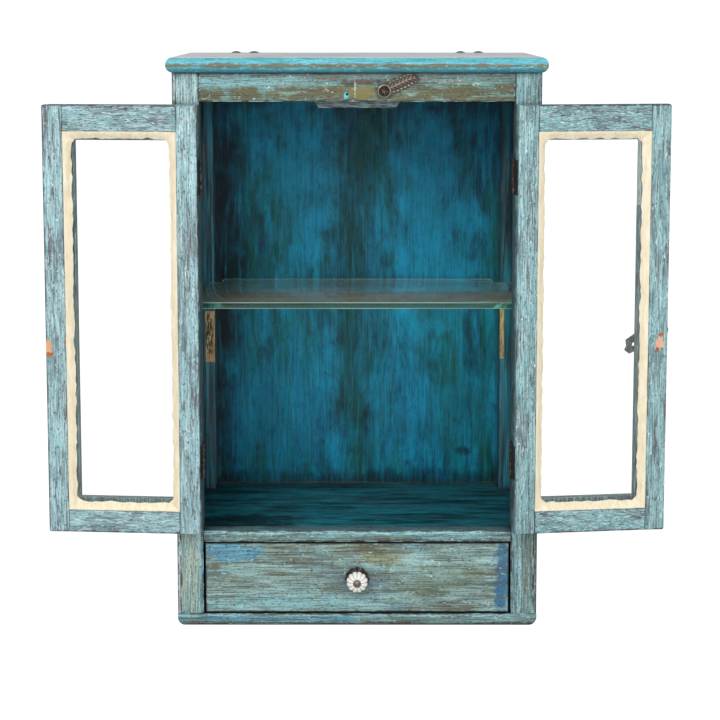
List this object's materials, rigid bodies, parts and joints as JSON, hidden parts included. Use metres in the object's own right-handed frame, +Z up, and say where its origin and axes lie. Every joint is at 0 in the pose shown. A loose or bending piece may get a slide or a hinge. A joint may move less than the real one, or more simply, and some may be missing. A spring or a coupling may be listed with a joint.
{
  "type": "glazed wall cabinet",
  "caption": "Painted wooden wall cabinet with glazed double doors swung open, a glass shelf and a drawer below.",
  "frame": {"origin": "centre of the flat underside", "axes": "+X to the right seen from the front, +Y into the wall, +Z up; the front faces -Y"},
  "size_m": [0.7684, 0.3027, 0.7112],
  "materials": {
    "painted_wood": "worn teal and olive oil paint over wood, brush streaks, rubbed through on edges",
    "door_paint": "chalky light teal paint, streaky, dark at the edges",
    "bare_wood": "dry unpainted hardwood",
    "window_glass": "clear old window glass",
    "shelf_glass": "clear plate glass, green at the cut edge",
    "putty": "hard cream linseed putty, hand run and rough",
    "glazed_ceramic": "white glaze with dark crazing in the flutes",
    "old_iron": "dark oxidised iron with rubbed edges",
    "cast_leaf": "dark bronzed casting with bright worn ridges",
    "bolt_metal": "dull aged steel"
  },
  "bodies": {
    "cabinet": {"left_front_post": "painted_wood", "right_front_post": "painted_wood", "left_back_post": "painted_wood", "right_back_post": "painted_wood", "side_panels": "painted_wood", "side_top_rails": "painted_wood", "side_bottom_rails": "painted_wood", "top_board": "painted_wood", "frieze_rail": "painted_wood", "middle_rail": "painted_wood", "bottom_rail": "painted_wood", "back_panel": "painted_wood", "back_top_rail": "painted_wood", "back_bottom_rail": "bare_wood", "cabinet_floor": "painted_wood", "base_board": "bare_wood", "shelf_bearers": "painted_wood", "drawer_runners": "bare_wood", "drawer_guides": "bare_wood", "drawer_kickers": "bare_wood", "drawer_stops": "bare_wood", "door_stop_block": "painted_wood", "hanging_brackets": "old_iron", "hanging_bolts": "old_iron", "back_panel_nails": "old_iron", "frame_hinge_leaves": "old_iron", "frame_hinge_screws": "old_iron", "hinge_pins": "old_iron", "turn_button_screw_and_washer": "old_iron"},
    "left_door": {"left_door_hinge_stile": "door_paint", "left_door_meeting_stile": "door_paint", "left_door_top_rail": "door_paint", "left_door_bottom_rail": "door_paint", "left_door_glass": "window_glass", "left_door_putty": "putty", "left_door_hinge_leaves": "old_iron", "left_door_hinge_screws": "old_iron", "latch_keeper": "old_iron"},
    "right_door": {"right_door_hinge_stile": "door_paint", "right_door_meeting_stile": "door_paint", "right_door_top_rail": "door_paint", "right_door_bottom_rail": "door_paint", "right_door_glass": "window_glass", "right_door_putty": "putty", "right_door_hinge_leaves": "old_iron", "right_door_hinge_screws": "old_iron", "latch_plate": "old_iron", "latch_pin": "old_iron"},
    "drawer": {"drawer_front": "painted_wood", "drawer_sides": "bare_wood", "drawer_back": "bare_wood", "drawer_bottom": "bare_wood", "drawer_nails": "old_iron", "knob_backplate": "old_iron", "knob": "glazed_ceramic", "knob_bolt": "bolt_metal", "knob_nut": "bolt_metal"},
    "turn_button": {"turn_button": "cast_leaf"},
    "latch_hook": {"latch_hook": "old_iron"},
    "glass_shelf": {"glass_shelf": "shelf_glass"}
  },
  "joints": [
    {"name": "left_door_hinge", "type": "hinge", "parent": "cabinet", "child": "left_door", "pos_m": [-0.19075, -0.1404, 0.38775], "axis": [0, 0, 1], "range_deg": [-4, 185]},
    {"name": "right_door_hinge", "type": "hinge", "parent": "cabinet", "child": "right_door", "pos_m": [0.19075, -0.1404, 0.38775], "axis": [0, 0, 1], "range_deg": [-188, 0]},
    {"name": "drawer_slide", "type": "slide", "parent": "cabinet", "child": "drawer", "axis": [0, -1, 0], "range_m": [0, 0.17]},
    {"name": "turn_button_pivot", "type": "hinge", "parent": "cabinet", "child": "turn_button", "pos_m": [0.033, -0.1375, 0.668], "axis": [0, 1, 0], "range_deg": [0, 215]},
    {"name": "latch_hook_pivot", "type": "hinge", "parent": "right_door", "child": "latch_hook", "pos_m": [0.36222, -0.11923, 0.356], "axis": [0.1392, -0.9903, 0], "range_deg": [0, 75]},
    {"name": "shelf_lift", "type": "slide", "parent": "cabinet", "child": "glass_shelf", "axis": [0, 0, 1], "range_m": [0, 0.06]}
  ]
}
